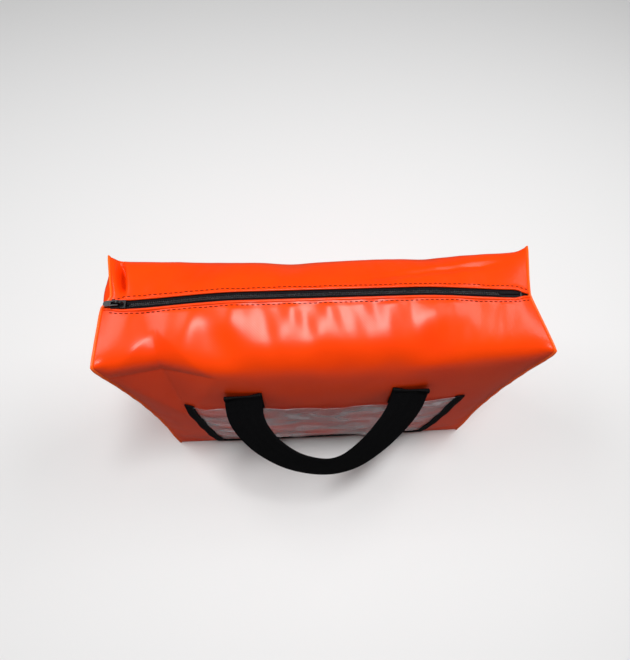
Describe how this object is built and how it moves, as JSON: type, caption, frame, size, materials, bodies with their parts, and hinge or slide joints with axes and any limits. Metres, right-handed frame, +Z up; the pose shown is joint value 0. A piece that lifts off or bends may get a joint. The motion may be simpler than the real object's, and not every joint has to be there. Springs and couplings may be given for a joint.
{
  "type": "smoke hood carry bag",
  "caption": "Box-shaped carry bag in coated sheet with a zipped top, webbing handles and a clear card window, for carrying a folded smoke hood.",
  "frame": {"origin": "centre of the base's underside, on the surface the bag stands on", "axes": "+X runs right along the bag's length and its zip, +Y to the back, +Z up. The front, with the card window, faces -Y"},
  "size_m": [0.4398, 0.2942, 0.3269],
  "materials": {
    "bag_sheet": "satin",
    "piping": "satin",
    "board": "matte",
    "clear_film": "gloss",
    "binding": "matte",
    "webbing": "matte",
    "zip_tape": "matte",
    "zip_teeth": "satin",
    "slider_metal": "satin"
  },
  "bodies": {
    "bag": {"front_panel": "bag_sheet", "back_panel": "bag_sheet", "base_panel": "bag_sheet", "left_end_panel": "bag_sheet", "right_end_panel": "bag_sheet", "left_edge_piping": "piping", "right_edge_piping": "piping", "base_board": "board", "window_film": "clear_film", "window_binding_left": "binding", "window_binding_right": "binding", "window_binding_bottom": "binding", "front_handle_end_left": "webbing", "front_handle_end_right": "webbing", "back_handle_end_left": "webbing", "back_handle_end_right": "webbing", "zip_top_stop_front": "slider_metal", "zip_top_stop_back": "slider_metal", "zip_bottom_stop": "slider_metal"},
    "front_flap": {"front_top_flap": "bag_sheet", "zip_tape_front": "zip_tape", "zip_chain_front": "zip_teeth"},
    "back_flap": {"back_top_flap": "bag_sheet", "zip_tape_back": "zip_tape", "zip_chain_back": "zip_teeth"},
    "slider": {"zip_slider_body": "slider_metal"},
    "pull": {"zip_pull_tab": "slider_metal"},
    "front_handle": {"front_handle_loop": "webbing"},
    "back_handle": {"back_handle_loop": "webbing"}
  },
  "joints": [
    {"name": "front_flap_fold", "type": "hinge", "parent": "bag", "child": "front_flap", "pos_m": [0, -0.0625, 0.32], "axis": [1, 0, 0], "range_deg": [0, 75]},
    {"name": "back_flap_fold", "type": "hinge", "parent": "bag", "child": "back_flap", "pos_m": [0, 0.0625, 0.32], "axis": [-1, 0, 0], "range_deg": [0, 75]},
    {"name": "slider_run", "type": "slide", "parent": "bag", "child": "slider", "axis": [1, 0, 0], "range_m": [0, 0.385]},
    {"name": "pull_swing", "type": "hinge", "parent": "slider", "child": "pull", "pos_m": [-0.199, 0, 0.3242], "axis": [0, 1, 0], "range_deg": [0, 170]},
    {"name": "front_handle_swing", "type": "hinge", "parent": "bag", "child": "front_handle", "pos_m": [0, -0.07455, 0.25], "axis": [1, 0, 0], "range_deg": [-147, 28]},
    {"name": "back_handle_swing", "type": "hinge", "parent": "bag", "child": "back_handle", "pos_m": [0, 0.07455, 0.25], "axis": [-1, 0, 0], "range_deg": [-147, 28]}
  ]
}
